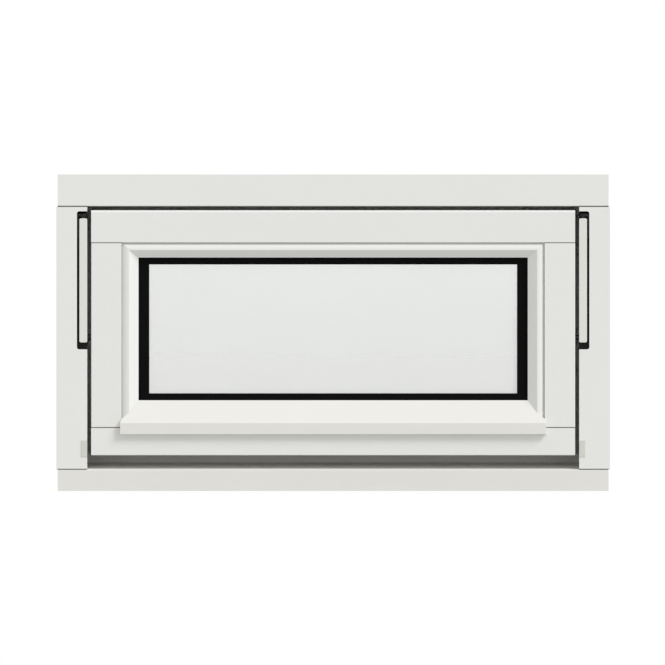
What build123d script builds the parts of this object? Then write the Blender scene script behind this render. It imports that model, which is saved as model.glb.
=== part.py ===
from build123d import *
import math
import os

# A small top-swing reversible pivot window in painted timber, 7 by 4 modules of 100 mm.
# X runs to the right as seen from outside, Y from outside to inside, Z up.
# The origin is the middle of the sill's underside, where the window sits on the wall.

# Frame
frame_width = 700.0
frame_height = 400.0
frame_depth = 115.0
end_setback = 1.7
head_face = 40.0
jamb_face = 39.0
sill_front = 27.0
sill_fall = 9.0
stop_overlap = 15.0
sill_stop_rise = 10.0
frame_arris = 1.2

# Sash
sash_gap = 5.0
sill_gap = 18.0
sash_setback = 1.0
sash_thickness = 56.0
seal_gap = 6.0
top_rail_face = 41.0
bottom_rail_face = 35.3
stile_face = 38.6
sash_arris = 1.0
top_arris = 3.0

# Glass and what holds it
pane_thickness = 4.0
pane_spacing = 16.0
tape_thickness = 3.0
gasket_thickness = 3.0
lip_thickness = 15.0
glass_edge_gap = 5.0
lip_cover = 16.4
lip_moulding = 4.0
bottom_step = 13.3
side_bead_width = 21.3
top_bead_width = 18.9
bead_crest = 9.4
bead_quirk = 5.0
bead_slope = 7.0
side_gasket_width = 13.6
cross_gasket_width = 8.8
spacer_width = 12.0

# Drip bead under the glass
drip_height = 42.8
drip_nose_height = 13.9
drip_nose_drop = 8.5
drip_projection = 5.6
drip_horn = 2.0

# Arms in their slots
slot_width = 13.0
slot_depth = 22.0
slot_top_gap = 6.4
slot_height = 174.6
slot_corner = 3.0
cover_width = 10.0
cover_depth = 12.0
cover_height = 157.0
cover_top_gap = 9.0
cover_wall = 1.2
cover_corner = 2.0
arm_thickness = 3.0
arm_top_radius = 3.5
arm_foot_radius = 4.5
pivot_from_face = 5.5
pivot_below_head = 11.0
foot_from_face = 8.0
foot_below_pivot = 155.0
pin_radius = 2.0
pin_clearance = 0.05
bracket_thickness = 2.0
foot_plate = 2.0

# Guide blocks at the foot of the jambs
guide_width = 8.0
guide_depth = 12.0
guide_height = 21.4
guide_foot = 42.6
guide_proud = 0.4

# Seals, fixings and handle
seal_height = 5.0
seal_width = 6.0
fixing_radius = 5.0
fixing_sink_radius = 8.0
fixing_sink_depth = 4.0
fixing_spacing = 220.0
rose_length = 62.0
rose_height = 26.0
rose_thickness = 9.0
lever_length = 112.0
lever_radius = 8.0
lever_reach = 36.0
handle_height = 86.0

# Planes and edges that follow from the sizes above
outer_y = -frame_depth / 2
inner_y = frame_depth / 2
sash_outer_y = outer_y + sash_setback
sash_inner_y = sash_outer_y + sash_thickness
stop_y = sash_inner_y + seal_gap
jamb_inner_x = frame_width / 2 - jamb_face
stop_x = jamb_inner_x - stop_overlap
head_z = frame_height - head_face
head_stop_z = head_z - stop_overlap
sill_back_z = sill_front + sill_fall
sash_x = jamb_inner_x - sash_gap
sash_top_z = head_z - sash_gap
sash_bottom_z = sill_front + sill_gap
sill_stop_z = sash_bottom_z + sill_stop_rise
top_rail_z = sash_top_z - top_rail_face
bottom_rail_z = sash_bottom_z + bottom_rail_face
stile_x = sash_x - stile_face
lip_y = sash_inner_y - lip_thickness
inner_pane_y = lip_y - tape_thickness - pane_thickness
outer_pane_y = inner_pane_y - pane_spacing - pane_thickness
gasket_y = outer_pane_y - gasket_thickness
glass_x = stile_x - glass_edge_gap
glass_top_z = top_rail_z - glass_edge_gap
glass_rest_z = bottom_rail_z + bottom_step
glass_bottom_z = glass_rest_z + glass_edge_gap
lip_x = glass_x - lip_cover
lip_top_z = glass_top_z - lip_cover + 2.0
lip_bottom_z = glass_bottom_z + lip_cover - 5.0
sight_x = stile_x - side_bead_width
sight_top_z = top_rail_z - top_bead_width
drip_foot_z = bottom_rail_z - drip_nose_drop
sight_bottom_z = drip_foot_z + drip_height
drip_nose_z = drip_foot_z + drip_nose_height
drip_y = sash_outer_y - drip_projection
slot_x = jamb_inner_x + slot_width
slot_top_z = head_z - slot_top_gap
cover_top_z = head_z - sash_gap - cover_top_gap - 1.4
cover_foot_z = cover_top_z - cover_height
pivot_y = outer_y + pivot_from_face
pivot_z = head_z - pivot_below_head
foot_y = outer_y + foot_from_face
foot_z = pivot_z - foot_below_pivot
arm_x = jamb_inner_x + (cover_width - arm_thickness) / 2

os.makedirs("parts", exist_ok=True)


def block(x0, x1, y0, y1, z0, z1):
    """A box between two corners."""
    size = (x1 - x0, y1 - y0, z1 - z0)
    centre = ((x0 + x1) / 2, (y0 + y1) / 2, (z0 + z1) / 2)
    return Pos(*centre) * Box(*size)


def along_x(points, x0, x1):
    """A section drawn in Y and Z, run along X."""
    section = make_face(Polyline(*[(0, y, z) for y, z in points], close=True))
    return Pos(x0, 0, 0) * extrude(section, amount=x1 - x0, dir=(1, 0, 0))


def along_z(points, z0, z1):
    """A section drawn in X and Y, run along Z."""
    section = make_face(Polyline(*[(x, y, 0) for x, y in points], close=True))
    return Pos(0, 0, z0) * extrude(section, amount=z1 - z0, dir=(0, 0, 1))


def along_y(points, y0, y1):
    """An outline drawn in X and Z, run along Y."""
    section = make_face(Polyline(*[(x, 0, z) for x, z in points], close=True))
    return Pos(0, y0, 0) * extrude(section, amount=y1 - y0, dir=(0, 1, 0))


def edges_at(shape, **place):
    """The straight edges of a shape that lie at the given places, such as y=0, z=10."""
    found = []
    for edge in shape.edges():
        low, high = edge.bounding_box().min, edge.bounding_box().max
        if all(
            abs(getattr(low, axis.upper()) - value) < 0.01 and abs(getattr(high, axis.upper()) - value) < 0.01
            for axis, value in place.items()
        ):
            found.append(edge)
    return found


def mirrored(shape):
    """The same piece on the other side of the window."""
    return mirror(shape, about=Plane.YZ)


def opening(x, z_low, z_high, y_from, y_to, flare):
    """The space inside a ring of four members, wider by the flare at y_to, so that its edges are mitred."""
    near = Plane.XZ.offset(-y_from) * Pos(0, (z_low + z_high) / 2) * Rectangle(2 * x, z_high - z_low)
    far_height = z_high - z_low + 2 * flare
    far = Plane.XZ.offset(-y_to) * Pos(0, (z_low + z_high) / 2) * Rectangle(2 * (x + flare), far_height)
    return loft([near, far])


def save(name, shape):
    export_step(shape, f"parts/{name}.step")


# Frame head and sill run over and under the jambs
head_x = frame_width / 2 - end_setback
head_section = [
    (outer_y, head_z),
    (stop_y, head_z),
    (stop_y, head_stop_z),
    (inner_y, head_stop_z),
    (inner_y, frame_height),
    (outer_y, frame_height),
]
sill_section = [
    (outer_y, 0),
    (inner_y, 0),
    (inner_y, sill_stop_z),
    (stop_y, sill_stop_z),
    (stop_y, sill_back_z),
    (outer_y, sill_front),
]
room_flare = opening(
    stop_x, sill_stop_z, head_stop_z, inner_y - lip_moulding, inner_y, lip_moulding
)

frame_head = along_x(head_section, -head_x, head_x)
frame_head = fillet(edges_at(frame_head, y=outer_y, z=head_z), frame_arris)
frame_head = frame_head - room_flare

frame_sill = along_x(sill_section, -head_x, head_x)
frame_sill = fillet(edges_at(frame_sill, y=outer_y, z=sill_front), frame_arris)
frame_sill = frame_sill - room_flare

# Each jamb is shouldered to the head and sill, with a rebate for the sash
jamb_side = [
    (outer_y, sill_front),
    (stop_y, sill_back_z),
    (stop_y, sill_stop_z),
    (inner_y, sill_stop_z),
    (inner_y, head_stop_z),
    (stop_y, head_stop_z),
    (stop_y, head_z),
    (outer_y, head_z),
]
jamb_plan = [
    (jamb_inner_x, outer_y),
    (frame_width / 2, outer_y),
    (frame_width / 2, inner_y),
    (stop_x, inner_y),
    (stop_x, stop_y),
    (jamb_inner_x, stop_y),
]
jamb = along_x(jamb_side, stop_x, frame_width / 2) & along_z(jamb_plan, 0, frame_height)
jamb = chamfer(edges_at(jamb, y=outer_y, z=head_z) + edges_at(jamb, y=outer_y, z=sill_front), frame_arris / 2)
jamb = fillet(edges_at(jamb, x=jamb_inner_x, y=outer_y), frame_arris / 2)

# Slot for the arm, milled into the jamb's face and open towards the sash
slot_bottom_z = slot_top_z - slot_height
slot_outline = Pos((slot_x + jamb_inner_x - slot_width) / 2, (slot_top_z + slot_bottom_z) / 2)
slot_outline = slot_outline * RectangleRounded(2 * slot_width, slot_height, slot_corner)
slot = extrude(Plane.XZ.offset(-outer_y + 1) * slot_outline, amount=-(slot_depth + 1))
jamb = jamb - slot

# Notch for the guide block
guide_top_z = guide_foot + guide_height
guide_x = jamb_inner_x + guide_width
jamb = jamb - block(
    jamb_inner_x - 1, guide_x, outer_y - 1, outer_y + guide_depth, guide_foot, guide_top_z
)

# Fixing holes through the room side of the jamb, sunk for a cap
fixing_y = (stop_y + inner_y) / 2
fixing_mid_z = (sill_stop_z + head_stop_z) / 2
for fixing_z in (fixing_mid_z - fixing_spacing / 2, fixing_mid_z + fixing_spacing / 2):
    turn = Pos(stop_x, fixing_y, fixing_z) * Rot(0, 90, 0)
    bore_length = frame_width / 2 - stop_x
    jamb = jamb - turn * Cylinder(fixing_radius, bore_length, align=(Align.CENTER, Align.CENTER, Align.MIN))
    jamb = jamb - turn * Cylinder(
        fixing_sink_radius, fixing_sink_depth, align=(Align.CENTER, Align.CENTER, Align.MIN)
    )
frame_jamb = jamb - room_flare

guide_block = block(
    jamb_inner_x, guide_x, outer_y - guide_proud, outer_y + guide_depth, guide_foot, guide_top_z
)
guide_block = chamfer(edges_at(guide_block, y=outer_y - guide_proud), guide_proud * 0.9)

# Seals in the rebate, a flat base with a round bulb towards the sash
def seal_section(base, middle, sign=-1):
    """Corner points of the seal's section: base against the stop, then the bulb's half circle."""
    half = seal_width / 2
    straight = seal_height - half
    points = [(middle - half, base), (middle - half, base + sign * straight)]
    for step in range(1, 6):
        angle = math.pi * step / 6
        points.append((middle - half * math.cos(angle), base + sign * (straight + half * math.sin(angle))))
    points += [(middle + half, base + sign * straight), (middle + half, base)]
    return points


seal_inset = 1.0 + seal_width / 2
seal_head_z = head_stop_z + seal_inset
seal_sill_z = sill_stop_z - seal_inset
seal_jamb_x = stop_x + seal_inset
seal_end_x = seal_jamb_x + seal_width / 2
seal_head = along_x([(y, z) for z, y in seal_section(stop_y, seal_head_z)], -seal_end_x, seal_end_x)
seal_sill = along_x([(y, z) for z, y in seal_section(stop_y, seal_sill_z)], -seal_end_x, seal_end_x)
seal_jamb = along_z(
    seal_section(stop_y, seal_jamb_x), seal_sill_z + seal_width / 2, seal_head_z - seal_width / 2
)

# Sash rails run the full width and the stiles stand between them
top_rail_section = [
    (sash_outer_y, top_rail_z),
    (lip_y, top_rail_z),
    (lip_y, lip_top_z),
    (sash_inner_y, lip_top_z),
    (sash_inner_y, sash_top_z),
    (sash_outer_y, sash_top_z),
]
rail_step_y = gasket_y
bottom_rail_section = [
    (sash_outer_y, sash_bottom_z),
    (sash_inner_y, sash_bottom_z),
    (sash_inner_y, lip_bottom_z),
    (lip_y, lip_bottom_z),
    (lip_y, glass_rest_z),
    (rail_step_y, glass_rest_z),
    (rail_step_y, bottom_rail_z),
    (sash_outer_y, bottom_rail_z),
]
lip_flare = opening(
    lip_x, lip_bottom_z, lip_top_z, sash_inner_y - lip_moulding, sash_inner_y, lip_moulding
)

sash_top_rail = along_x(top_rail_section, -sash_x, sash_x)
sash_top_rail = fillet(edges_at(sash_top_rail, y=sash_outer_y, z=sash_top_z), top_arris)
sash_top_rail = fillet(edges_at(sash_top_rail, y=sash_outer_y, z=top_rail_z), sash_arris / 2)
sash_top_rail = sash_top_rail - lip_flare

sash_bottom_rail = along_x(bottom_rail_section, -sash_x, sash_x)
sash_bottom_rail = fillet(edges_at(sash_bottom_rail, y=sash_outer_y, z=sash_bottom_z), sash_arris)
sash_bottom_rail = fillet(edges_at(sash_bottom_rail, y=sash_inner_y, z=sash_bottom_z), sash_arris)
sash_bottom_rail = sash_bottom_rail - lip_flare

stile_side = [
    (sash_outer_y, bottom_rail_z),
    (rail_step_y, bottom_rail_z),
    (rail_step_y, glass_rest_z),
    (lip_y, glass_rest_z),
    (lip_y, lip_bottom_z),
    (sash_inner_y, lip_bottom_z),
    (sash_inner_y, lip_top_z),
    (lip_y, lip_top_z),
    (lip_y, top_rail_z),
    (sash_outer_y, top_rail_z),
]
stile_plan = [
    (stile_x, sash_outer_y),
    (sash_x, sash_outer_y),
    (sash_x, sash_inner_y),
    (lip_x, sash_inner_y),
    (lip_x, lip_y),
    (stile_x, lip_y),
]
stile = along_x(stile_side, lip_x, sash_x) & along_z(stile_plan, 0, frame_height)
stile = chamfer(
    edges_at(stile, y=sash_outer_y, z=top_rail_z) + edges_at(stile, y=sash_outer_y, z=bottom_rail_z),
    sash_arris / 2,
)
stile = fillet(edges_at(stile, x=sash_x, y=sash_outer_y), sash_arris)

# Recess in the stile's edge for the plate that carries the arm's foot
plate_half_y = 8.0
plate_half_z = 14.0
plate_low_y = foot_y - foot_plate * 2
plate_high_y = foot_y + plate_half_y
foot_recess = block(
    sash_x - foot_plate, sash_x + 1, plate_low_y, plate_high_y, foot_z - plate_half_z, foot_z + plate_half_z
)
sash_stile = stile - foot_recess - lip_flare

# Plate, shoulder and pin that join the stile to the foot of the arm
sash_pivot = block(
    sash_x - foot_plate, sash_x, plate_low_y, plate_high_y, foot_z - plate_half_z, foot_z + plate_half_z
)
shoulder_radius = pin_radius + 1.5
shoulder = Pos(sash_x, foot_y, foot_z) * Rot(0, 90, 0) * Cylinder(
    shoulder_radius, arm_x - sash_x, align=(Align.CENTER, Align.CENTER, Align.MIN)
)
foot_pin = Pos(sash_x, foot_y, foot_z) * Rot(0, 90, 0) * Cylinder(
    pin_radius, arm_x - sash_x + arm_thickness, align=(Align.CENTER, Align.CENTER, Align.MIN)
)
sash_pivot = sash_pivot + shoulder + foot_pin

# Arm: a flat steel strip with an eye at each end
arm_plane = Plane.YZ.offset(arm_x)
with BuildSketch(arm_plane) as arm_outline:
    with Locations((pivot_y, pivot_z)):
        Circle(arm_top_radius)
    with Locations((foot_y, foot_z)):
        Circle(arm_foot_radius)
    make_hull()
    with Locations((pivot_y, pivot_z), (foot_y, foot_z)):
        Circle(pin_radius + pin_clearance, mode=Mode.SUBTRACT)
arm = extrude(arm_outline.sketch, amount=arm_thickness)

# Cover: a channel round the arm, held by three pairs of ribs
cover_x = jamb_inner_x + cover_width
cover_outline = Pos((jamb_inner_x + cover_x) / 2, (cover_foot_z + cover_top_z) / 2)
cover_outline = cover_outline * RectangleRounded(cover_width, cover_height, cover_corner)
cover_y = sash_outer_y
cover_back_y = cover_y + cover_depth
arm_cover = extrude(Plane.XZ.offset(-cover_y) * cover_outline, amount=-cover_depth)
arm_cover = fillet(arm_cover.faces().sort_by(Axis.Y)[0].edges(), cover_wall / 2)
arm_cover = arm_cover - block(
    jamb_inner_x + cover_wall,
    cover_x - cover_wall,
    cover_y + cover_wall,
    cover_back_y + 1,
    cover_foot_z + cover_wall,
    cover_top_z - cover_wall,
)
rib_height = 4.0
rib_back_y = cover_back_y - 2.0
for share in (0.3, 0.55, 0.8):
    rib_z = cover_foot_z + share * cover_height
    arm_cover = arm_cover + block(
        jamb_inner_x + cover_wall / 2, cover_x - cover_wall / 2, cover_y + cover_wall / 2, rib_back_y,
        rib_z - rib_height / 2, rib_z + rib_height / 2
    )
arm_room = Plane.YZ.offset(arm_x)
with BuildSketch(arm_room) as arm_path:
    with Locations((pivot_y, pivot_z)):
        Circle(arm_top_radius)
    with Locations((foot_y, foot_z)):
        Circle(arm_foot_radius)
    make_hull()
arm_cover = arm_cover - extrude(arm_path.sketch, amount=arm_thickness)
arm_cover = arm_cover - Pos(jamb_inner_x - 1, foot_y, foot_z) * Rot(0, 90, 0) * Cylinder(
    shoulder_radius + 0.5, cover_width / 2, align=(Align.CENTER, Align.CENTER, Align.MIN)
)

# Bracket on the slot's wall, with the pin that the arm turns on
bracket_low_z = pivot_z - 28.0
bracket_high_z = slot_top_z - slot_corner
arm_bracket = block(
    slot_x - bracket_thickness, slot_x, pivot_y - 3.0, outer_y + slot_depth, bracket_low_z, bracket_high_z
)
collar_gap = 0.3
collar = Pos(arm_x + arm_thickness + collar_gap, pivot_y, pivot_z) * Rot(0, 90, 0) * Cylinder(
    pin_radius + 1.2,
    slot_x - bracket_thickness - arm_x - arm_thickness - collar_gap,
    align=(Align.CENTER, Align.CENTER, Align.MIN),
)
pin_start_x = arm_x - 2.0
top_pin = Pos(pin_start_x, pivot_y, pivot_z) * Rot(0, 90, 0) * Cylinder(
    pin_radius, slot_x - bracket_thickness - pin_start_x, align=(Align.CENTER, Align.CENTER, Align.MIN)
)
pin_head = Pos(pin_start_x, pivot_y, pivot_z) * Rot(0, 90, 0) * Cylinder(
    pin_radius + 1.2, 2.0 - collar_gap, align=(Align.CENTER, Align.CENTER, Align.MIN)
)
arm_bracket = arm_bracket + collar + top_pin + pin_head

# Glass unit
glass_outer = block(
    -glass_x, glass_x, outer_pane_y, outer_pane_y + pane_thickness, glass_bottom_z, glass_top_z
)
glass_inner = block(
    -glass_x, glass_x, inner_pane_y, inner_pane_y + pane_thickness, glass_bottom_z, glass_top_z
)
spacer_y = outer_pane_y + pane_thickness
spacer_inset = 4.0
spacer_x = glass_x - spacer_inset
glazing_spacer = block(
    -spacer_x, spacer_x, spacer_y, inner_pane_y, glass_bottom_z + spacer_inset, glass_top_z - spacer_inset
) - block(
    -spacer_x + spacer_width,
    spacer_x - spacer_width,
    spacer_y - 1,
    inner_pane_y + 1,
    glass_bottom_z + spacer_inset + spacer_width,
    glass_top_z - spacer_inset - spacer_width,
)

# Tape between the inner pane and the sash's lip, one strip a side
tape_width = 10.0
tape_y = inner_pane_y + pane_thickness
tape_top = block(-glass_x, glass_x, tape_y, lip_y, glass_top_z - tape_width, glass_top_z)
tape_bottom = block(-glass_x, glass_x, tape_y, lip_y, glass_bottom_z, glass_bottom_z + tape_width)
tape_side = block(
    glass_x - tape_width, glass_x, tape_y, lip_y, glass_bottom_z + tape_width, glass_top_z - tape_width
)
inner_tape = Compound(children=[tape_top, tape_bottom, tape_side, mirrored(tape_side)])

# Setting blocks carry the glass on the bottom rail
setting_length = 60.0
setting_x = glass_x - 100.0
setting_block = block(
    setting_x - setting_length / 2, setting_x + setting_length / 2,
    outer_pane_y, lip_y - tape_thickness, glass_rest_z, glass_bottom_z
)
setting_blocks = Compound(children=[setting_block, mirrored(setting_block)])

# Black gasket on the outer pane, one strip a side, mitred at the corners
gasket_x = sight_x - side_gasket_width
gasket_top_z = sight_top_z - cross_gasket_width
gasket_bottom_z = sight_bottom_z + cross_gasket_width
gasket_top = along_y(
    [(-glass_x, glass_top_z), (glass_x, glass_top_z), (gasket_x, gasket_top_z), (-gasket_x, gasket_top_z)],
    gasket_y, outer_pane_y,
)
gasket_bottom = along_y(
    [
        (-glass_x, glass_bottom_z), (-gasket_x, gasket_bottom_z),
        (gasket_x, gasket_bottom_z), (glass_x, glass_bottom_z),
    ],
    gasket_y, outer_pane_y,
)
gasket_side = along_y(
    [(glass_x, glass_bottom_z), (gasket_x, gasket_bottom_z), (gasket_x, gasket_top_z), (glass_x, glass_top_z)],
    gasket_y, outer_pane_y,
)

# Glazing beads: a quirk beside the sash, a round up to the crest, then a fall to the glass
def bead_section(width):
    """Points of a bead's section, from the sash inwards: distance from the sash, then depth in Y."""
    points = [(0, gasket_y), (0, sash_outer_y + bead_quirk)]
    steps = 6
    for step in range(1, steps + 1):
        angle = math.pi / 2 * step / steps
        across = bead_crest * (1 - math.cos(angle))
        points.append((across, sash_outer_y + bead_quirk * (1 - math.sin(angle)) + 0.3))
    points += [(width, sash_outer_y + bead_slope), (width, gasket_y)]
    return points


# Where the side beads meet the drip bead, drawn in elevation from the glass outwards
mitre = [
    (sight_x, sight_bottom_z),
    (stile_x - bead_crest, drip_nose_z + 12.8),
    (stile_x - bead_crest / 2, drip_nose_z + 9.6),
    (stile_x, drip_nose_z + 5.6),
]
side_cut = along_y(
    mitre + [(stile_x, top_rail_z), (sight_x, sight_top_z)], drip_y - 1, gasket_y + 1
)
bead_right = along_z([(stile_x - a, y) for a, y in bead_section(side_bead_width)], 0, frame_height) & side_cut
bead_top = along_x([(y, top_rail_z - a) for a, y in bead_section(top_bead_width)], -stile_x, stile_x)
bead_top = bead_top & along_y(
    [(-stile_x, top_rail_z), (stile_x, top_rail_z), (sight_x, sight_top_z), (-sight_x, sight_top_z)],
    drip_y - 1, gasket_y + 1,
)
drip_section = [
    (gasket_y, bottom_rail_z),
    (gasket_y, sight_bottom_z),
    (sash_outer_y + bead_slope, sight_bottom_z),
    (drip_y, drip_nose_z),
    (drip_y, drip_foot_z),
    (sash_outer_y, drip_foot_z),
    (sash_outer_y, bottom_rail_z),
]
drip_end_x = stile_x + drip_horn
bead_bottom = along_x(drip_section, -drip_end_x, drip_end_x)
bead_bottom = fillet(edges_at(bead_bottom, y=drip_y, z=drip_nose_z), sash_arris)
bead_outline = [(drip_end_x, drip_foot_z - 1), (drip_end_x, drip_nose_z + 1)] + mitre[::-1]
bead_outline = bead_outline + [(-x, z) for x, z in bead_outline[::-1]]
horn_back = block(stile_x, drip_end_x + 1, sash_outer_y, gasket_y + 1, 0, frame_height)
bead_bottom = bead_bottom & along_y(bead_outline, drip_y - 1, gasket_y + 1)
bead_bottom = bead_bottom - horn_back - mirrored(horn_back)

# Handle on the bottom rail, seen from the room
rose_y = sash_inner_y + rose_thickness
handle_rose = extrude(
    Plane.XZ.offset(-sash_inner_y) * Pos(0, handle_height) * RectangleRounded(rose_length, rose_height, 5.0),
    amount=-rose_thickness,
)
handle_rose = fillet(handle_rose.faces().sort_by(Axis.Y)[-1].edges(), 2.5)
lever_y = rose_y + lever_reach - lever_radius
neck = Pos(0, rose_y, handle_height) * Rot(-90, 0, 0) * Cylinder(
    lever_radius - 1.0, lever_y - rose_y, align=(Align.CENTER, Align.CENTER, Align.MIN)
)
lever_start = Pos(0, lever_y, handle_height)
lever_sketch = Plane.YZ * Pos(lever_y, handle_height)
lever_bar = loft([
    Plane.YZ.offset(-lever_radius) * Pos(lever_y, handle_height) * Ellipse(lever_radius, lever_radius),
    Plane.YZ.offset(lever_length / 2) * Pos(lever_y - 2, handle_height) * Ellipse(lever_radius - 2, lever_radius),
    Plane.YZ.offset(lever_length) * Pos(lever_y, handle_height) * Ellipse(lever_radius - 2.5, lever_radius - 1),
])
handle_lever = neck + lever_bar

pieces = {
    "frame_head": frame_head,
    "frame_sill": frame_sill,
    "seal_head": seal_head,
    "seal_sill": seal_sill,
    "sash_top_rail": sash_top_rail,
    "sash_bottom_rail": sash_bottom_rail,
    "bead_top": bead_top,
    "bead_bottom": bead_bottom,
    "glass_outer": glass_outer,
    "glass_inner": glass_inner,
    "glazing_spacer": glazing_spacer,
    "gasket_top": gasket_top,
    "gasket_bottom": gasket_bottom,
    "inner_tape": inner_tape,
    "setting_blocks": setting_blocks,
    "handle_rose": handle_rose,
    "handle_lever": handle_lever,
}
paired = {
    "frame_jamb": frame_jamb,
    "guide_block": guide_block,
    "arm_bracket": arm_bracket,
    "seal_jamb": seal_jamb,
    "sash_stile": sash_stile,
    "sash_pivot": sash_pivot,
    "arm": arm,
    "arm_cover": arm_cover,
    "gasket": gasket_side,
    "bead": bead_right,
}
for name, shape in pieces.items():
    save(name, shape)
for name, shape in paired.items():
    save(f"{name}_right", shape)
    save(f"{name}_left", mirrored(shape))
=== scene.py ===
import math

import bpy
from bpy.props import FloatProperty, FloatVectorProperty, PointerProperty
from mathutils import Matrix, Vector


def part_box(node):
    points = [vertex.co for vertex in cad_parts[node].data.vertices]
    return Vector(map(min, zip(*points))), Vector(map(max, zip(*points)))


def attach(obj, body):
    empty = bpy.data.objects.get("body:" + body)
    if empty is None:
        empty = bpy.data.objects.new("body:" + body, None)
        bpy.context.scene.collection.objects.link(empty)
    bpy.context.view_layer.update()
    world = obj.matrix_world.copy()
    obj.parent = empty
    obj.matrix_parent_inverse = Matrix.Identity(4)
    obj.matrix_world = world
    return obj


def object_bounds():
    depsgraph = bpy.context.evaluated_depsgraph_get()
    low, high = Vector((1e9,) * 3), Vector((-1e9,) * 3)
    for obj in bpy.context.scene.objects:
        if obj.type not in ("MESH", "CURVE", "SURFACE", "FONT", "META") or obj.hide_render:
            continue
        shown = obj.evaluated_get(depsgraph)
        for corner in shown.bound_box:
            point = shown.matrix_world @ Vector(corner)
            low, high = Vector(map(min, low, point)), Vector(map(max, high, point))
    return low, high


bl_info = {
    "name": "Pivot Window Finisher",
    "version": (1, 0, 0),
    "blender": (4, 5, 0),
    "location": "View3D > Sidebar > Window",
    "description": "Paints, glazes and fits out a small timber pivot window, and lights it for a picture",
    "category": "Object",
}

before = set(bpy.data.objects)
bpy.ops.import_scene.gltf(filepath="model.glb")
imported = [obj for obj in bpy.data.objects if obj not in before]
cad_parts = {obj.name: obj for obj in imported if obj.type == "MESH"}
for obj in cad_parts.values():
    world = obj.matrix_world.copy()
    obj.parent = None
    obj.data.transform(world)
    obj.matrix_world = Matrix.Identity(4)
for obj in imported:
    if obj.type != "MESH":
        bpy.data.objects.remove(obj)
cad_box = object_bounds()

MM = 0.001
WALL_SKIN = 3.0 * MM
PAINT_SKIN = 0.3 * MM
# the slot behind the arm's cover, as far as it reaches past the cover
SLOT_PAST_SIDE = 3.2 * MM
SLOT_PAST_FOOT = 8.7 * MM
SLOT_PAST_HEAD = 9.1 * MM
# the painted shade of the slot starts this far behind the face of the jamb
SLOT_SHADE_FROM = 1.0 * MM
SLOT_BACK = cad_box[0].y + 27.0 * MM
# places of the screws on their plates
PLATE_SCREW_EDGE = 4.0 * MM
BRACKET_SCREW_EDGE = 4.5 * MM
BRACKET_SCREW_HEIGHTS = (5.0 * MM, 16.0 * MM)
BRACKET_THICKNESS = 2.0 * MM
TIMBER_ALONG_X = ["frame_head", "sash_top_rail", "sash_bottom_rail", "bead_top"]
TIMBER_ALONG_Z = ["sash_stile_left", "sash_stile_right", "bead_left", "bead_right"]
JAMBS = ["frame_jamb_left", "frame_jamb_right"]
DARKER_TIMBER = ["frame_sill", "bead_bottom"]
STEEL_NODES = [
    "arm_left", "arm_right", "arm_bracket_left", "arm_bracket_right", "sash_pivot_left", "sash_pivot_right",
]


def linear(code):
    """A colour written as sRGB hex, as the four linear numbers that a shader takes."""
    parts = [int(code[at:at + 2], 16) / 255 for at in (0, 2, 4)]
    return tuple(c / 12.92 if c <= 0.04045 else ((c + 0.055) / 1.055) ** 2.4 for c in parts) + (1.0,)


def add(tree, kind, sockets=None, **settings):
    """Adds one node: settings are its own properties, sockets its inputs.

    An input takes a value or another node's output.
    """
    made = tree.nodes.new(kind)
    for name, value in settings.items():
        setattr(made, name, value)
    for name, value in (sockets or {}).items():
        if isinstance(value, bpy.types.NodeSocket):
            tree.links.new(value, made.inputs[name])
        else:
            made.inputs[name].default_value = value
    return made


def new_material(name):
    """An empty node material and its tree."""
    material = bpy.data.materials.new(name)
    material.use_nodes = True
    material.node_tree.nodes.clear()
    return material, material.node_tree


def finish_material(tree, shader):
    """Puts the shader on the surface."""
    add(tree, "ShaderNodeOutputMaterial", {"Surface": shader})


def dress(node, material):
    """Gives a CAD node its material, in place of the one that it came with."""
    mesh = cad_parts[node].data
    mesh.materials.clear()
    mesh.materials.append(material)


def stretched(tree, along, length, width):
    """Object coordinates in units of length along one axis and of width across it."""
    scale = [1 / width] * 3
    scale["XYZ".index(along)] = 1 / length
    coords = add(tree, "ShaderNodeTexCoord").outputs["Object"]
    return add(tree, "ShaderNodeMapping", {"Vector": coords, "Scale": scale}).outputs["Vector"]


def either(tree, first, second, operation="MAXIMUM"):
    """One mask from two: where either is 1, or with MINIMUM where both are."""
    return add(tree, "ShaderNodeMath", {0: first, 1: second}, operation=operation).outputs[0]


def beyond(tree, value, limit):
    """1 where the value is greater than the limit."""
    return add(tree, "ShaderNodeMath", {0: value, 1: limit}, operation="GREATER_THAN").outputs[0]


def short_of(tree, value, limit):
    """1 where the value is less than the limit."""
    return add(tree, "ShaderNodeMath", {0: value, 1: limit}, operation="LESS_THAN").outputs[0]


def wall_side_mask(tree, place):
    """1 on the faces that go into the wall: the jambs' outer sides, the head's top and the sill's
    underside.
    """
    out = add(tree, "ShaderNodeMath", {0: place.outputs["X"]}, operation="ABSOLUTE").outputs[0]
    facing = add(tree, "ShaderNodeNewGeometry").outputs["True Normal"]
    sideways = add(tree, "ShaderNodeSeparateXYZ", {0: facing}).outputs["X"]
    sideways = add(tree, "ShaderNodeMath", {0: sideways}, operation="ABSOLUTE").outputs[0]
    ends = either(tree, beyond(tree, out, cad_box[1].x - WALL_SKIN), beyond(tree, sideways, 0.7), "MINIMUM")
    top = beyond(tree, place.outputs["Z"], cad_box[1].z - PAINT_SKIN)
    foot = short_of(tree, place.outputs["Z"], cad_box[0].z + PAINT_SKIN)
    return either(tree, ends, either(tree, top, foot))


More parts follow.
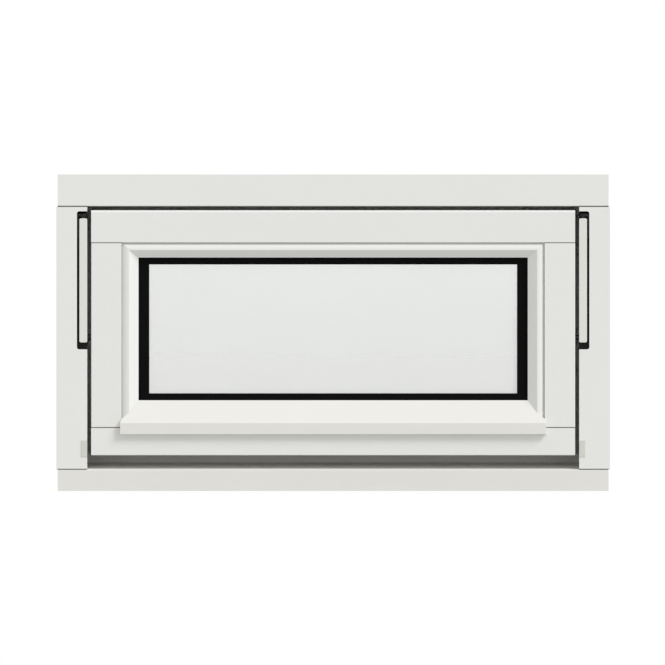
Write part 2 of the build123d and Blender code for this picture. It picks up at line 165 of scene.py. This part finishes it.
def slot_mask(tree, place):
    """1 on the walls of the slots that the arms lie in, from just behind the face of the jamb: where the slot's
    painted shade goes.
    """
    jamb_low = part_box("frame_jamb_right")[0]
    cover_low, cover_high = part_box("arm_cover_right")
    out = add(tree, "ShaderNodeMath", {0: place.outputs["X"]}, operation="ABSOLUTE").outputs[0]
    inside = either(
        tree, short_of(tree, out, cover_high.x + SLOT_PAST_SIDE),
        short_of(tree, place.outputs["Y"], SLOT_BACK), "MINIMUM",
    )
    behind = beyond(tree, place.outputs["Y"], jamb_low.y + SLOT_SHADE_FROM)
    height = either(
        tree, beyond(tree, place.outputs["Z"], cover_low.z - SLOT_PAST_FOOT),
        short_of(tree, place.outputs["Z"], cover_high.z + SLOT_PAST_HEAD), "MINIMUM",
    )
    return either(tree, either(tree, inside, behind, "MINIMUM"), height, "MINIMUM")


def satin_paint(name, along, light, shade, brush, shade_slot=False):
    """Satin alkyd paint on planed pine, brushed along the member.

    The brush leaves fine lengthwise ridges and a slow change of tone. On the faces that go into the wall there is
    only primer, so the grain shows through and the sheen is lower.
    """
    material, tree = new_material(name)
    coords = add(tree, "ShaderNodeTexCoord").outputs["Object"]
    # tone drifts over about 90 mm, as two coats of brushed paint do
    drift = add(
        tree, "ShaderNodeTexNoise", {"Vector": coords, "Scale": 1 / 0.09, "Detail": 2.0}
    ).outputs["Fac"]
    tone = add(tree, "ShaderNodeMix", {0: drift, 6: light, 7: shade}, data_type="RGBA").outputs[2]
    # real bristle marks are 0.3 mm apart, drawn four times as coarse so that they show
    marks = add(
        tree, "ShaderNodeTexNoise",
        {"Vector": stretched(tree, along, 80 * MM, brush), "Scale": 1.0, "Detail": 4.0, "Roughness": 0.6},
    ).outputs["Fac"]
    # roller stipple, about 1.5 mm across
    stipple = add(
        tree, "ShaderNodeTexNoise", {"Vector": coords, "Scale": 1 / (1.5 * MM), "Detail": 1.0}
    ).outputs["Fac"]
    film = add(tree, "ShaderNodeMix", {0: 0.35, 2: marks, 3: stipple}, data_type="FLOAT").outputs[0]
    # growth rings of slow pine, about 3 mm apart, seen through the primer
    grain = add(
        tree, "ShaderNodeTexWave",
        {"Vector": stretched(tree, along, 400 * MM, 10 * MM), "Scale": 1.0, "Distortion": 5.0, "Detail": 3.0},
        wave_type="BANDS", bands_direction="DIAGONAL",
    ).outputs["Fac"]
    primer = add(
        tree, "ShaderNodeMix", {0: grain, 6: linear("DAD6CB"), 7: linear("CFC7B6")}, data_type="RGBA"
    ).outputs[2]
    place = add(tree, "ShaderNodeSeparateXYZ", {0: coords})
    mask = wall_side_mask(tree, place)
    colour = add(tree, "ShaderNodeMix", {0: mask, 6: tone, 7: primer}, data_type="RGBA").outputs[2]
    if shade_slot:
        # painted shade: the walls of the slot are coloured near black, so that the recess behind the arm looks
        # dark
        slot_shade = slot_mask(tree, place)
        colour = add(
            tree, "ShaderNodeMix", {0: slot_shade, 6: colour, 7: linear("1C1C1B")}, data_type="RGBA"
        ).outputs[2]
    relief = add(tree, "ShaderNodeMix", {0: mask, 2: film, 3: grain}, data_type="FLOAT").outputs[0]
    sheen_low = add(
        tree, "ShaderNodeMath", {0: mask, 1: 0.22, 2: 0.36}, operation="MULTIPLY_ADD"
    ).outputs[0]
    roughness = add(
        tree, "ShaderNodeMath", {0: marks, 1: 0.1, 2: sheen_low}, operation="MULTIPLY_ADD"
    ).outputs[0]
    bump = add(
        tree, "ShaderNodeBump", {"Height": relief, "Strength": 0.5, "Distance": 0.06 * MM}
    ).outputs["Normal"]
    shader = add(
        tree, "ShaderNodeBsdfPrincipled",
        {"Base Color": colour, "Roughness": roughness, "Normal": bump, "IOR": 1.48, "Specular IOR Level": 0.4},
    )
    finish_material(tree, shader.outputs[0])
    return material


def float_glass(name, tint):
    """Clear float glass: fire-polished and smooth on both sides, all but without colour.

    The base colour drifts a little over the pane, as the coating inside a sealed unit does.
    """
    material, tree = new_material(name)
    coords = add(tree, "ShaderNodeTexCoord").outputs["Object"]
    drift = add(
        tree, "ShaderNodeTexNoise", {"Vector": coords, "Scale": 1 / 0.2, "Detail": 1.0}
    ).outputs["Fac"]
    coated = tuple(part * 0.985 for part in tint[:3]) + (1.0,)
    tone = add(tree, "ShaderNodeMix", {0: drift, 6: tint, 7: coated}, data_type="RGBA").outputs[2]
    shader = add(
        tree, "ShaderNodeBsdfPrincipled",
        {"Base Color": tone, "Roughness": 0.0, "IOR": 1.52, "Transmission Weight": 1.0},
    )
    return material, tree, shader.outputs[0], coords


def outer_pane(glass):
    """The outer pane, with a thin grey diffuse film on its weather side, heavier at the foot, so that the pane
    looks darker towards the bottom.
    """
    material, tree, shader, coords = float_glass("float_glass_outer", glass.tint)
    low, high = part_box("glass_outer")
    place = add(tree, "ShaderNodeSeparateXYZ", {0: coords})
    height = add(
        tree, "ShaderNodeMapRange",
        {
            "Value": place.outputs["Z"], "From Min": low.z, "From Max": high.z,
            "To Min": glass.film_foot, "To Max": glass.film_head,
        },
    ).outputs["Result"]
    cloud = add(
        tree, "ShaderNodeTexNoise", {"Vector": coords, "Scale": 1 / 0.12, "Detail": 3.0}
    ).outputs["Fac"]
    film = add(tree, "ShaderNodeMath", {0: cloud, 1: 0.03, 2: height}, operation="MULTIPLY_ADD").outputs[0]
    weather_side = short_of(tree, place.outputs["Y"], low.y + 0.2 * MM)
    film = either(tree, film, weather_side, "MINIMUM")
    grey_film = add(tree, "ShaderNodeBsdfDiffuse", {"Color": glass.grey_film}).outputs[0]
    finish_material(tree, add(tree, "ShaderNodeMixShader", {0: film, 1: shader, 2: grey_film}).outputs[0])
    return material


def inner_pane(glass):
    """The inner pane, which stays clean."""
    material, tree, shader, coords = float_glass("float_glass_inner", glass.tint)
    finish_material(tree, shader)
    return material


def rubber(name, colour, roughness):
    """Extruded EPDM rubber: dull, with die lines too fine to see and a faint bloom."""
    material, tree = new_material(name)
    coords = add(tree, "ShaderNodeTexCoord").outputs["Object"]
    grit = add(
        tree, "ShaderNodeTexNoise", {"Vector": coords, "Scale": 1 / (0.8 * MM), "Detail": 2.0}
    ).outputs["Fac"]
    bloom = add(
        tree, "ShaderNodeTexNoise", {"Vector": coords, "Scale": 1 / 0.04, "Detail": 2.0}
    ).outputs["Fac"]
    dull = add(
        tree, "ShaderNodeMath", {0: bloom, 1: 0.15, 2: roughness}, operation="MULTIPLY_ADD"
    ).outputs[0]
    bump = add(
        tree, "ShaderNodeBump", {"Height": grit, "Strength": 0.3, "Distance": 0.05 * MM}
    ).outputs["Normal"]
    shader = add(
        tree, "ShaderNodeBsdfPrincipled",
        {"Base Color": colour, "Roughness": dull, "Normal": bump, "Specular IOR Level": 0.08},
    )
    finish_material(tree, shader.outputs[0])
    return material


def powder_coat(name, colour, shade):
    """Polyester powder coat on steel: an even satin skin with orange peel about 2 mm across."""
    material, tree = new_material(name)
    coords = add(tree, "ShaderNodeTexCoord").outputs["Object"]
    peel = add(
        tree, "ShaderNodeTexNoise", {"Vector": coords, "Scale": 1 / (2 * MM), "Detail": 1.0}
    ).outputs["Fac"]
    drift = add(tree, "ShaderNodeTexNoise", {"Vector": coords, "Scale": 1 / 0.05}).outputs["Fac"]
    tone = add(tree, "ShaderNodeMix", {0: drift, 6: colour, 7: shade}, data_type="RGBA").outputs[2]
    bump = add(
        tree, "ShaderNodeBump", {"Height": peel, "Strength": 0.4, "Distance": 0.05 * MM}
    ).outputs["Normal"]
    shader = add(
        tree, "ShaderNodeBsdfPrincipled",
        {"Base Color": tone, "Roughness": 0.42, "Normal": bump, "IOR": 1.5},
    )
    finish_material(tree, shader.outputs[0])
    return material


def zinc_steel(name, bright, dull, roughness):
    """Zinc-plated steel: crystals a few millimetres across, each a little lighter or darker than the
    next.
    """
    material, tree = new_material(name)
    coords = add(tree, "ShaderNodeTexCoord").outputs["Object"]
    crystal = add(tree, "ShaderNodeTexVoronoi", {"Vector": coords, "Scale": 1 / (3 * MM)}).outputs["Color"]
    pick = add(tree, "ShaderNodeSeparateColor", {0: crystal}).outputs[0]
    tone = add(tree, "ShaderNodeMix", {0: pick, 6: bright, 7: dull}, data_type="RGBA").outputs[2]
    rough = add(
        tree, "ShaderNodeMath", {0: pick, 1: 0.12, 2: roughness}, operation="MULTIPLY_ADD"
    ).outputs[0]
    shader = add(
        tree, "ShaderNodeBsdfPrincipled", {"Base Color": tone, "Roughness": rough, "Metallic": 1.0}
    )
    finish_material(tree, shader.outputs[0])
    return material


def anodised_aluminium(name, colour):
    """Satin anodised aluminium: brushed along the lever before the bath, so its gleam is drawn out
    across it.
    """
    material, tree = new_material(name)
    lines = add(
        tree, "ShaderNodeTexNoise",
        {"Vector": stretched(tree, "X", 30 * MM, 0.4 * MM), "Scale": 1.0, "Detail": 3.0},
    ).outputs["Fac"]
    bump = add(
        tree, "ShaderNodeBump", {"Height": lines, "Strength": 0.25, "Distance": 0.02 * MM}
    ).outputs["Normal"]
    rough = add(tree, "ShaderNodeMath", {0: lines, 1: 0.12, 2: 0.26}, operation="MULTIPLY_ADD").outputs[0]
    shader = add(
        tree, "ShaderNodeBsdfPrincipled",
        {"Base Color": colour, "Roughness": rough, "Metallic": 1.0, "Normal": bump, "Anisotropic": 0.4},
    )
    finish_material(tree, shader.outputs[0])
    return material


def moulded_plastic(name, colour, shade):
    """Injection-moulded acetal: a matt spark-eroded skin, a touch darker where the flow ends."""
    material, tree = new_material(name)
    coords = add(tree, "ShaderNodeTexCoord").outputs["Object"]
    grit = add(
        tree, "ShaderNodeTexNoise", {"Vector": coords, "Scale": 1 / (0.6 * MM), "Detail": 2.0}
    ).outputs["Fac"]
    flow = add(tree, "ShaderNodeTexNoise", {"Vector": coords, "Scale": 1 / (12 * MM)}).outputs["Fac"]
    tone = add(tree, "ShaderNodeMix", {0: flow, 6: colour, 7: shade}, data_type="RGBA").outputs[2]
    bump = add(
        tree, "ShaderNodeBump", {"Height": grit, "Strength": 0.3, "Distance": 0.05 * MM}
    ).outputs["Normal"]
    shader = add(
        tree, "ShaderNodeBsdfPrincipled", {"Base Color": tone, "Roughness": 0.5, "Normal": bump, "IOR": 1.48}
    )
    finish_material(tree, shader.outputs[0])
    return material


def plain_stage(name, colour):
    """Seamless studio paper: pale and without any gloss."""
    material, tree = new_material(name)
    coords = add(tree, "ShaderNodeTexCoord").outputs["Object"]
    fibre = add(tree, "ShaderNodeTexNoise", {"Vector": coords, "Scale": 400.0}).outputs["Fac"]
    bump = add(
        tree, "ShaderNodeBump", {"Height": fibre, "Strength": 0.05, "Distance": 0.05 * MM}
    ).outputs["Normal"]
    shader = add(tree, "ShaderNodeBsdfDiffuse", {"Color": colour, "Normal": bump})
    finish_material(tree, shader.outputs[0])
    return material


class PaintSettings(bpy.types.PropertyGroup):
    """Colours of the painted timber."""

    light: FloatVectorProperty(
        name="Paint", description="Main tone of the satin paint", subtype="COLOR", size=4,
        default=linear("E4E4E2"), min=0.0, max=1.0,
    )
    shade: FloatVectorProperty(
        name="Paint shade", description="The slightly darker tone that the paint drifts to",
        subtype="COLOR", size=4,
        default=linear("E2E2E0"), min=0.0, max=1.0,
    )
    # the sill and the drip bead take a slightly darker, warmer tone than the rest of the painted timber
    darker_light: FloatVectorProperty(
        name="Sill paint", description="Paint of the sill and the drip bead", subtype="COLOR", size=4,
        default=linear("E0DFDB"), min=0.0, max=1.0,
    )
    darker_shade: FloatVectorProperty(
        name="Sill paint shade", description="Darker tone of the sill and the drip bead",
        subtype="COLOR", size=4,
        default=linear("DDDCD8"), min=0.0, max=1.0,
    )
    brush: FloatProperty(
        name="Brush marks", description="Distance between brush marks", subtype="DISTANCE",
        default=1.2 * MM, min=0.2 * MM, max=5 * MM,
    )
    # the height of the dark line of painted shade in each joint
    joint: FloatProperty(
        name="Joint line", description="Height of the line of sealant in a joint", subtype="DISTANCE",
        default=0.9 * MM, min=0.2 * MM, max=3 * MM,
    )


class GlassSettings(bpy.types.PropertyGroup):
    """How the double glazing looks."""

    tint: FloatVectorProperty(
        name="Tint", description="Colour of light that has passed a pane", subtype="COLOR", size=4,
        default=linear("F6F7F6"), min=0.0, max=1.0,
    )
    # colour of the grey diffuse film that makes the outer pane darker towards the foot
    grey_film: FloatVectorProperty(
        name="Dust", description="Colour of the film on the outer pane", subtype="COLOR", size=4,
        default=linear("D8D8D7"), min=0.0, max=1.0,
    )
    film_foot: FloatProperty(
        name="Film at the foot", description="Share of the pane that the film covers at its foot",
        subtype="FACTOR", default=0.42, min=0.0, max=1.0,
    )
    film_head: FloatProperty(
        name="Film at the head", description="Share of the pane that the film covers at its head",
        subtype="FACTOR", default=0.08, min=0.0, max=1.0,
    )


class ScrewSettings(bpy.types.PropertyGroup):
    """Sizes of the screws in the hardware."""

    head_radius: FloatProperty(
        name="Head radius", description="Radius of a screw head", subtype="DISTANCE",
        default=2.6 * MM, min=1.0 * MM, max=6.0 * MM,
    )
    head_rise: FloatProperty(
        name="Head rise", description="How far a head stands out of the plate", subtype="DISTANCE",
        default=0.5 * MM, min=0.1 * MM, max=2.0 * MM,
    )
    recess_width: FloatProperty(
        name="Recess width", description="Width of one bar of the cross recess", subtype="DISTANCE",
        default=0.7 * MM, min=0.2 * MM, max=2.0 * MM,
    )
    recess_depth: FloatProperty(
        name="Recess depth", description="Depth of the cross recess", subtype="DISTANCE",
        default=0.35 * MM, min=0.1 * MM, max=2.0 * MM,
    )
    edge_distance: FloatProperty(
        name="Edge distance", description="From the end of the rose to the middle of its screw",
        subtype="DISTANCE",
        default=8.0 * MM, min=3.0 * MM, max=20.0 * MM,
    )


class StageSettings(bpy.types.PropertyGroup):
    """Camera and light for the picture."""

    picture_width: FloatProperty(
        name="Picture width", description="Width that the picture takes in", subtype="DISTANCE",
        default=0.8409, min=0.1, max=10.0,
    )
    aim: FloatVectorProperty(
        name="Aim", description="Point that the camera looks at", subtype="TRANSLATION", size=3,
        default=(-0.8 * MM, 0.0, 200.3 * MM),
    )
    ambient: FloatProperty(
        name="Ambient light", description="Strength of the light from all round",
        default=0.72, min=0.0, max=5.0,
    )
    key: FloatProperty(
        name="Key light", description="Strength of the soft lamp at the upper right",
        default=0.75, min=0.0, max=20.0,
    )
    key_from: FloatVectorProperty(
        name="Key direction", description="Direction from the window to the lamp",
        subtype="DIRECTION", size=3,
        default=(0.6, -0.36, 0.71),
    )
    key_spread: FloatProperty(
        name="Key softness", description="Angle that the lamp fills as seen from the window",
        subtype="ANGLE",
        default=math.radians(22), min=0.0, max=3.1,
    )
    floor: FloatVectorProperty(
        name="Floor", description="Colour of the floor", subtype="COLOR", size=4,
        default=linear("C8C8C6"), min=0.0, max=1.0,
    )


class WINDOW_OT_paint_timber(bpy.types.Operator):
    """Paints the frame, the sash and the beads, each along its own grain"""

    bl_idname = "window.paint_timber"
    bl_label = "Paint the Timber"

    def execute(self, context):
        paint = context.scene.window_paint
        across = satin_paint("satin_alkyd_paint_across", "X", paint.light, paint.shade, paint.brush)
        upright = satin_paint("satin_alkyd_paint_upright", "Z", paint.light, paint.shade, paint.brush)
        darker_paint = satin_paint(
            "satin_alkyd_paint_darker", "X", paint.darker_light, paint.darker_shade, paint.brush
        )
        jamb = satin_paint(
            "satin_alkyd_paint_jamb", "Z", paint.light, paint.shade, paint.brush, shade_slot=True
        )
        for names, material in (
            (TIMBER_ALONG_X, across), (TIMBER_ALONG_Z, upright), (DARKER_TIMBER, darker_paint), (JAMBS, jamb)
        ):
            for name in names:
                dress(name, material)
        return {"FINISHED"}


class WINDOW_OT_glaze(bpy.types.Operator):
    """Finishes the panes, the gasket round them, the spacer, the tape and the setting blocks"""

    bl_idname = "window.glaze"
    bl_label = "Glaze the Sash"

    def execute(self, context):
        glass = context.scene.window_glass
        dress("glass_outer", outer_pane(glass))
        dress("glass_inner", inner_pane(glass))
        black = rubber("epdm_glazing_gasket", linear("030303"), 0.6)
        for side in ("top", "bottom", "left", "right"):
            dress(f"gasket_{side}", black)
        dress("inner_tape", black)
        dress("glazing_spacer", moulded_plastic("warm_edge_spacer", linear("101011"), linear("161617")))
        dress("setting_blocks", moulded_plastic("setting_block_plastic", linear("5A5E60"), linear("505456")))
        return {"FINISHED"}


class WINDOW_OT_fit_seals(bpy.types.Operator):
    """Finishes the four weather seals in the rebate"""

    bl_idname = "window.fit_seals"
    bl_label = "Fit the Seals"

    def execute(self, context):
        seal = rubber("epdm_weather_seal", linear("2B2B2A"), 0.55)
        for name in ("seal_head", "seal_sill", "seal_jamb_left", "seal_jamb_right"):
            dress(name, seal)
        return {"FINISHED"}


class WINDOW_OT_fit_hardware(bpy.types.Operator):
    """Finishes the arms, their covers, brackets and pivot plates, the guide blocks and the handle"""

    bl_idname = "window.fit_hardware"
    bl_label = "Fit the Hardware"

    def execute(self, context):
        steel = zinc_steel("black_zinc_steel", linear("3A3A3B"), linear("2C2C2D"), 0.4)
        for name in STEEL_NODES:
            dress(name, steel)
        cover = powder_coat("powder_coated_steel", linear("DDDDD7"), linear("DADAD4"))
        block = moulded_plastic("acetal_guide_block", linear("D0D0CA"), linear("CACAC4"))
        for side in ("left", "right"):
            dress(f"arm_cover_{side}", cover)
            dress(f"guide_block_{side}", block)
        handle = anodised_aluminium("satin_anodised_aluminium", linear("C9CACC"))
        dress("handle_rose", handle)
        dress("handle_lever", handle)
        return {"FINISHED"}


def groove_shade_material(name, colour, shade):
    """A dark strip in a joint, painted shade that stands for the shadow in the groove: dull, and darker in
    patches along its run.
    """
    material, tree = new_material(name)
    coords = add(tree, "ShaderNodeTexCoord").outputs["Object"]
    shade_patches = add(
        tree, "ShaderNodeTexNoise", {"Vector": coords, "Scale": 1 / (9 * MM), "Detail": 2.0}
    ).outputs["Fac"]
    tone = add(tree, "ShaderNodeMix", {0: shade_patches, 6: colour, 7: shade}, data_type="RGBA").outputs[2]
    shader = add(tree, "ShaderNodeBsdfPrincipled", {"Base Color": tone, "Roughness": 0.8})
    finish_material(tree, shader.outputs[0])
    return material


def run_groove_shade(name, body, lines, face, height, material):
    """One mesh of thin lines of painted shade for one body: each line is (x from, x to, z), flush with the face.
    """
    corners, faces = [], []
    sides = [(0, 1, 3, 2), (4, 6, 7, 5), (0, 4, 5, 1), (2, 3, 7, 6), (0, 2, 6, 4), (1, 5, 7, 3)]
    for x_from, x_to, z in lines:
        first = len(corners)
        corners += [
            (x, y, z + dz)
            for x in sorted((x_from, x_to)) for y in (face - 0.02 * MM, face + 0.6 * MM)
            for dz in (-height / 2, height / 2)
        ]
        faces += [tuple(first + at for at in side) for side in sides]
    mesh = bpy.data.meshes.new(name)
    mesh.from_pydata(corners, [], faces)
    mesh.materials.append(material)
    piece = bpy.data.objects.new(name, mesh)
    bpy.context.scene.collection.objects.link(piece)
    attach(piece, body)


class WINDOW_OT_shade_joint_grooves(bpy.types.Operator):
    """Runs a thin dark line of painted shade into the joints of the frame and of the sash, where the grooves
    would be in shadow
    """

    bl_idname = "window.seal_joints"
    # this step lays dark strips of painted shade in the joints
    bl_label = "Seal the Joints"

    def execute(self, context):
        height = context.scene.window_paint.joint
        # painted shade: dark strips stand for the shadow in the joint grooves
        groove_shade = groove_shade_material("painted_groove_shade", linear("45453D"), linear("2E2E28"))
        jamb_low, jamb_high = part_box("frame_jamb_right")
        stile_low, stile_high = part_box("sash_stile_right")
        jamb_x, head_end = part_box("guide_block_right")[0].x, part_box("frame_head")[1].x
        bead_x, horn_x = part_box("bead_right")[1].x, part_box("bead_bottom")[1].x
        frame_lines, sash_lines = [], []
        for side in (-1, 1):
            for z in (jamb_low.z + height / 2, jamb_high.z - height / 2):
                frame_lines.append((side * jamb_x, side * head_end, z))
            sash_lines.append((side * bead_x, side * stile_high.x, stile_high.z - height / 4))
            sash_lines.append((side * horn_x, side * stile_high.x, stile_low.z - height / 4))
        run_groove_shade("frame_groove_shade", "frame", frame_lines, jamb_low.y, height, groove_shade)
        run_groove_shade("sash_groove_shade", "sash", sash_lines, stile_low.y, height, groove_shade)
        return {"FINISHED"}


def screw_tree(steel):
    """Geometry Nodes tree: a countersunk head with a cross recess on every point, facing as the point
    says.
    """
    tree = bpy.data.node_groups.new("countersunk_screws", "GeometryNodeTree")
    for direction in ("INPUT", "OUTPUT"):
        tree.interface.new_socket("Geometry", in_out=direction, socket_type="NodeSocketGeometry")
    for name in ("Head radius", "Head rise", "Recess width", "Recess depth"):
        tree.interface.new_socket(name, in_out="INPUT", socket_type="NodeSocketFloat")
    sizes = add(tree, "NodeGroupInput").outputs
    flat = add(tree, "ShaderNodeMath", {0: sizes["Head radius"], 1: 0.86}, operation="MULTIPLY").outputs[0]
    head = add(
        tree, "GeometryNodeMeshCone",
        {"Vertices": 24, "Radius Top": flat, "Radius Bottom": sizes["Head radius"], "Depth": sizes["Head rise"]},
    ).outputs["Mesh"]
    reach = add(tree, "ShaderNodeMath", {0: sizes["Head radius"], 1: 1.15}, operation="MULTIPLY").outputs[0]
    deep = add(tree, "ShaderNodeMath", {0: sizes["Recess depth"], 1: 2.0}, operation="MULTIPLY").outputs[0]
    lift = add(tree, "ShaderNodeCombineXYZ", {2: sizes["Head rise"]}).outputs[0]
    cutters = []
    for size in ((reach, sizes["Recess width"], deep), (sizes["Recess width"], reach, deep)):
        bar = add(tree, "ShaderNodeCombineXYZ", dict(enumerate(size))).outputs[0]
        cube = add(tree, "GeometryNodeMeshCube", {"Size": bar}).outputs["Mesh"]
        cutters.append(add(tree, "GeometryNodeTransform", {"Geometry": cube, "Translation": lift}).outputs[0])
    cut = add(tree, "GeometryNodeMeshBoolean", {"Mesh 1": head}, operation="DIFFERENCE", solver="EXACT")
    for cutter in cutters:
        tree.links.new(cutter, cut.inputs["Mesh 2"])
    facing = add(tree, "GeometryNodeInputNamedAttribute", {"Name": "facing"}, data_type="FLOAT_VECTOR")
    turned = add(
        tree, "FunctionNodeAlignRotationToVector", {"Vector": facing.outputs["Attribute"]}, axis="Z"
    ).outputs["Rotation"]
    placed = add(
        tree, "GeometryNodeInstanceOnPoints",
        {"Points": sizes["Geometry"], "Instance": cut.outputs["Mesh"], "Rotation": turned},
    ).outputs["Instances"]
    real = add(tree, "GeometryNodeRealizeInstances", {"Geometry": placed}).outputs["Geometry"]
    dressed = add(
        tree, "GeometryNodeSetMaterial", {"Geometry": real, "Material": steel}
    ).outputs["Geometry"]
    add(tree, "NodeGroupOutput", {"Geometry": dressed})
    return tree


def drive_screws(name, body, places, steel, sizes):
    """One mesh of screw heads for one body, from the points and the way that each head faces."""
    mesh = bpy.data.meshes.new(name)
    mesh.from_pydata([place for place, facing in places], [], [])
    facing = mesh.attributes.new("facing", "FLOAT_VECTOR", "POINT")
    for at, (place, way) in enumerate(places):
        facing.data[at].vector = way
    holder = bpy.data.objects.new(name, mesh)
    bpy.context.scene.collection.objects.link(holder)
    tree = screw_tree(steel)
    modifier = holder.modifiers.new("screws", "NODES")
    modifier.node_group = tree
    for socket in tree.interface.items_tree:
        if socket.in_out == "INPUT" and socket.name in sizes:
            modifier[socket.identifier] = sizes[socket.name]
    evaluated = holder.evaluated_get(bpy.context.evaluated_depsgraph_get())
    made = bpy.data.meshes.new_from_object(evaluated)
    if not made.polygons:
        raise RuntimeError(f"no screws were made for {name}")
    holder.modifiers.remove(modifier)
    holder.data = made
    made.name = name
    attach(holder, body)


class WINDOW_OT_drive_screws(bpy.types.Operator):
    """Puts the screws into the rose of the handle, the pivot plates on the stiles and the brackets in
    the slots
    """

    bl_idname = "window.drive_screws"
    bl_label = "Drive the Screws"

    def execute(self, context):
        screws = context.scene.window_screws
        rise = screws.head_rise
        sizes = {
            "Head radius": screws.head_radius, "Head rise": rise,
            "Recess width": screws.recess_width, "Recess depth": screws.recess_depth,
        }
        steel = zinc_steel("bright_zinc_screw_steel", linear("A9AAAC"), linear("96979A"), 0.3)
        rose_low, rose_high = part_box("handle_rose")
        rose_z = (rose_low.z + rose_high.z) / 2
        rose_x = rose_high.x - screws.edge_distance
        rose = [((x, rose_high.y, rose_z), (0, 1, 0)) for x in (-rose_x, rose_x)]
        plates, brackets = [], []
        stile_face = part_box("sash_stile_right")[1].x
        plate_low, plate_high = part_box("sash_pivot_right")
        bracket_low, bracket_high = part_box("arm_bracket_right")
        bracket_face = bracket_high.x - BRACKET_THICKNESS
        for side in (-1, 1):
            for z in (plate_low.z + PLATE_SCREW_EDGE, plate_high.z - PLATE_SCREW_EDGE):
                plates.append(((side * stile_face, plate_high.y - PLATE_SCREW_EDGE, z), (side, 0, 0)))
            for height in BRACKET_SCREW_HEIGHTS:
                place = (side * bracket_face, bracket_high.y - BRACKET_SCREW_EDGE, bracket_low.z + height)
                brackets.append((place, (-side, 0, 0)))
        drive_screws("rose_screws", "sash", rose, steel, sizes)
        drive_screws("pivot_plate_screws", "sash", plates, steel, sizes)
        drive_screws("bracket_screws", "frame", brackets, steel, sizes)
        return {"FINISHED"}


class WINDOW_OT_set_stage(bpy.types.Operator):
    """Lays the floor, sets the light and places the camera square on to the outside face"""

    bl_idname = "window.set_stage"
    bl_label = "Set the Stage"

    def execute(self, context):
        stage = context.scene.window_stage
        half = 6.0
        mesh = bpy.data.meshes.new("floor")
        corners = [(-half, -half, 0), (half, -half, 0), (half, half, 0), (-half, half, 0)]
        mesh.from_pydata([(x, y, -0.2 * MM) for x, y, z in corners], [], [(0, 1, 2, 3)])
        floor = bpy.data.objects.new("floor", mesh)
        context.scene.collection.objects.link(floor)
        mesh.materials.append(plain_stage("studio_paper", stage.floor))
        self.light_world(context, stage)
        self.hang_lamp(context, stage)
        self.place_camera(context, stage)
        context.scene.view_settings.view_transform = "Standard"
        return {"FINISHED"}

    def light_world(self, context, stage):
        """White where the camera, gloss and glass look past the window, and a plain grey light for the
        rest.
        """
        world = bpy.data.worlds.new("studio")
        world.use_nodes = True
        tree = world.node_tree
        tree.nodes.clear()
        rays = add(tree, "ShaderNodeLightPath")
        seen = rays.outputs["Is Camera Ray"]
        for ray in ("Is Glossy Ray", "Is Transmission Ray"):
            seen = add(
                tree, "ShaderNodeMath", {0: seen, 1: rays.outputs[ray]}, operation="MAXIMUM"
            ).outputs[0]
        strength = add(
            tree, "ShaderNodeMix", {0: seen, 2: stage.ambient, 3: 1.0}, data_type="FLOAT"
        ).outputs[0]
        sky = add(tree, "ShaderNodeBackground", {"Color": (1, 1, 1, 1), "Strength": strength})
        add(tree, "ShaderNodeOutputWorld", {"Surface": sky.outputs[0]})
        context.scene.world = world

    def hang_lamp(self, context, stage):
        """One soft lamp at the upper right, in front of the outside face."""
        lamp = bpy.data.lights.new("key", "SUN")
        lamp.energy = stage.key * math.pi
        lamp.angle = stage.key_spread
        placed = bpy.data.objects.new("key", lamp)
        context.scene.collection.objects.link(placed)
        toward = Vector(stage.key_from)
        placed.location = toward * 3
        placed.rotation_euler = toward.to_track_quat("Z", "Y").to_euler()

    def place_camera(self, context, stage):
        lens = bpy.data.cameras.new("camera")
        lens.type = "ORTHO"
        lens.ortho_scale = stage.picture_width
        camera = bpy.data.objects.new("camera", lens)
        context.scene.collection.objects.link(camera)
        camera.location = Vector(stage.aim) + Vector((0, -3, 0))
        camera.rotation_euler = (math.pi / 2, 0, 0)
        context.scene.camera = camera


class WINDOW_PT_finisher(bpy.types.Panel):
    """Lists the steps that finish the window"""

    bl_label = "Pivot Window"
    bl_idname = "WINDOW_PT_finisher"
    bl_space_type = "VIEW_3D"
    bl_region_type = "UI"
    bl_category = "Window"

    def draw(self, context):
        for group in SETTINGS:
            settings = getattr(context.scene, group)
            box = self.layout.box()
            for name in settings.__annotations__:
                box.prop(settings, name)
        for step in STEPS:
            self.layout.operator(step.bl_idname)


SETTINGS = {
    "window_paint": PaintSettings,
    "window_glass": GlassSettings,
    "window_screws": ScrewSettings,
    "window_stage": StageSettings,
}
STEPS = [
    WINDOW_OT_paint_timber,
    WINDOW_OT_shade_joint_grooves,
    WINDOW_OT_glaze,
    WINDOW_OT_fit_seals,
    WINDOW_OT_fit_hardware,
    WINDOW_OT_drive_screws,
    WINDOW_OT_set_stage,
]
CLASSES = [*SETTINGS.values(), *STEPS, WINDOW_PT_finisher]


def register():
    for cls in CLASSES:
        bpy.utils.register_class(cls)
    for name, group in SETTINGS.items():
        setattr(bpy.types.Scene, name, PointerProperty(type=group))


def unregister():
    for name in SETTINGS:
        delattr(bpy.types.Scene, name)
    for cls in reversed(CLASSES):
        bpy.utils.unregister_class(cls)


def main():
    """Runs every step in order."""
    register()
    for step in STEPS:
        group, name = step.bl_idname.split(".")
        getattr(getattr(bpy.ops, group), name)()


if __name__ == "__main__":
    main()
